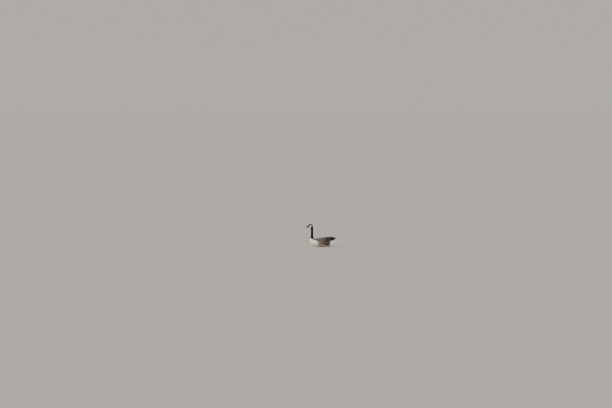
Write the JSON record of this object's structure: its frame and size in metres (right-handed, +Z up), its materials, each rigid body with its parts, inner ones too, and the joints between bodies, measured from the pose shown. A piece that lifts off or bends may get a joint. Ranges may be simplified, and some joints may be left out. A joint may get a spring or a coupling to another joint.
{
  "type": "canada goose",
  "caption": "Life-size still Canada goose resting on its belly, neck upright, wings folded and feet tucked under.",
  "frame": {"origin": "on the floor under the middle of the goose's box, in its middle plane", "axes": "the goose faces -X, its left side is at -Y, and +Z is up"},
  "size_m": [0.6774, 0.2574, 0.4935],
  "materials": {
    "brown_feather": "matt, barred brown body plumage with paler feather edges",
    "wing_feather": "matt brown wing feathers with buff edges, darker towards the tips",
    "black_feather": "velvety black head and neck with a white cheek patch",
    "stern_feather": "black tail feathers over white undertail coverts",
    "bill_horn": "smooth black horn, satin",
    "foot_skin": "scaled black skin, satin",
    "eye_gloss": "dark brown, wet and glossy"
  },
  "bodies": {
    "root": {"bill_lower": "bill_horn", "bill_upper": "bill_horn", "eye_left": "eye_gloss", "eye_right": "eye_gloss", "foot_left": "foot_skin", "foot_right": "foot_skin", "head": "black_feather", "leg_left": "foot_skin", "leg_right": "foot_skin", "neck_lower": "black_feather", "neck_upper": "black_feather", "tail": "stern_feather", "torso": "brown_feather", "wing_left": "wing_feather", "wing_right": "wing_feather"}
  },
  "joints": []
}
